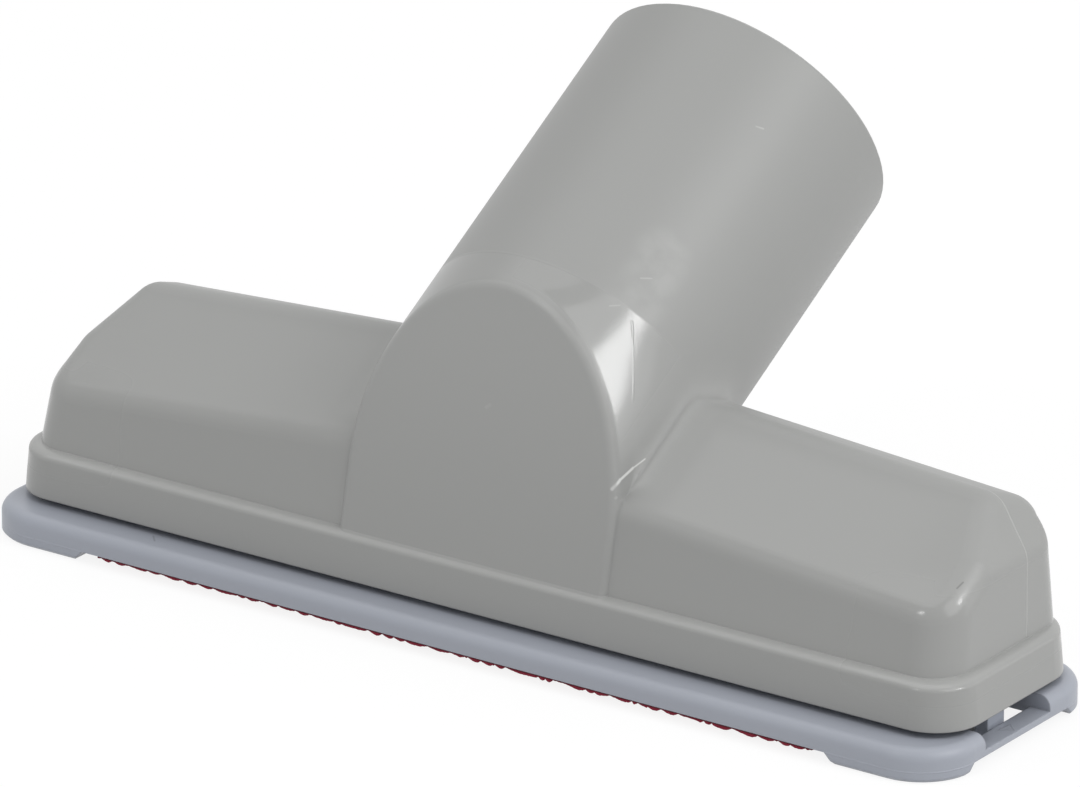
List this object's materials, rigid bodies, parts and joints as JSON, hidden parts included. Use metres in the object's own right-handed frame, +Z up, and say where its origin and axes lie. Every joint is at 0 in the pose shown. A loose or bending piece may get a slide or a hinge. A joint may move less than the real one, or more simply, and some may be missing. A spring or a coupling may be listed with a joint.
{
  "type": "vacuum upholstery nozzle",
  "caption": "Moulded upholstery nozzle with a leaning round tube socket, a hipped box head, a clip-on sole plate and red lint strips, for cleaning soft furnishings",
  "frame": {"origin": "middle of the suction mouth, on the plane of the four feet under the sole", "axes": "+X along the nozzle, +Y to the rear where the neck leans, -Y the front with the arched face, +Z up"},
  "size_m": [0.14, 0.0722, 0.0669],
  "materials": {
    "housing_plastic": "semi-gloss warm grey moulding",
    "sole_plastic": "satin bluish grey moulding",
    "lint_pile": "dark red looped pile"
  },
  "bodies": {
    "root": {"housing": "housing_plastic", "sole_plate": "sole_plastic", "front_lint_strip": "lint_pile", "rear_lint_strip": "lint_pile"}
  },
  "joints": []
}
